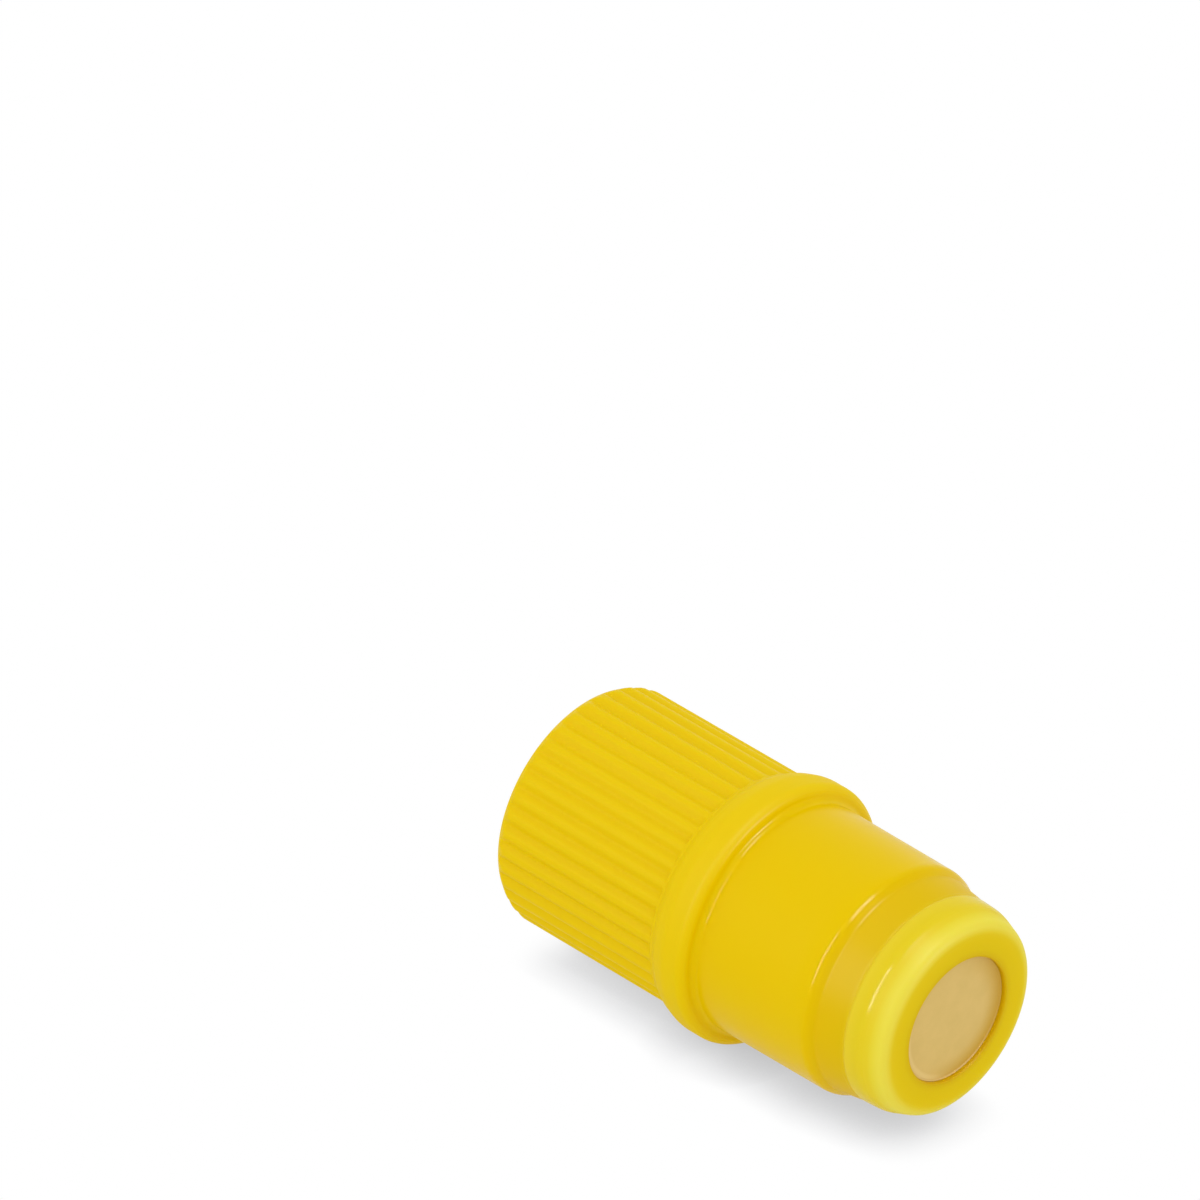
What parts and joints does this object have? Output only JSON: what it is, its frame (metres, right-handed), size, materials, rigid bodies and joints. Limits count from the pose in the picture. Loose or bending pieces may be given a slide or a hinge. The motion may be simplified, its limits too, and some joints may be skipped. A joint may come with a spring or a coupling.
{
  "type": "luer lock cap",
  "caption": "Small round cap with a ribbed luer lock collar, a tapered luer cone inside it, a flanged barrel and a rubber septum held under a rolled rim.",
  "frame": {"origin": "centre of the open end face of the luer lock collar, on the cap's axis", "axes": "+Z along the cap's axis, from the open luer end up to the septum; X and Y have no preferred direction"},
  "size_m": [0.0108, 0.0108, 0.0192],
  "materials": {
    "housing_plastic": "moulded yellow plastic, glossy on the barrel, satin on the ribbed collar",
    "septum_rubber": "smooth matt beige rubber"
  },
  "bodies": {
    "root": {"housing": "housing_plastic", "septum": "septum_rubber"}
  },
  "joints": []
}
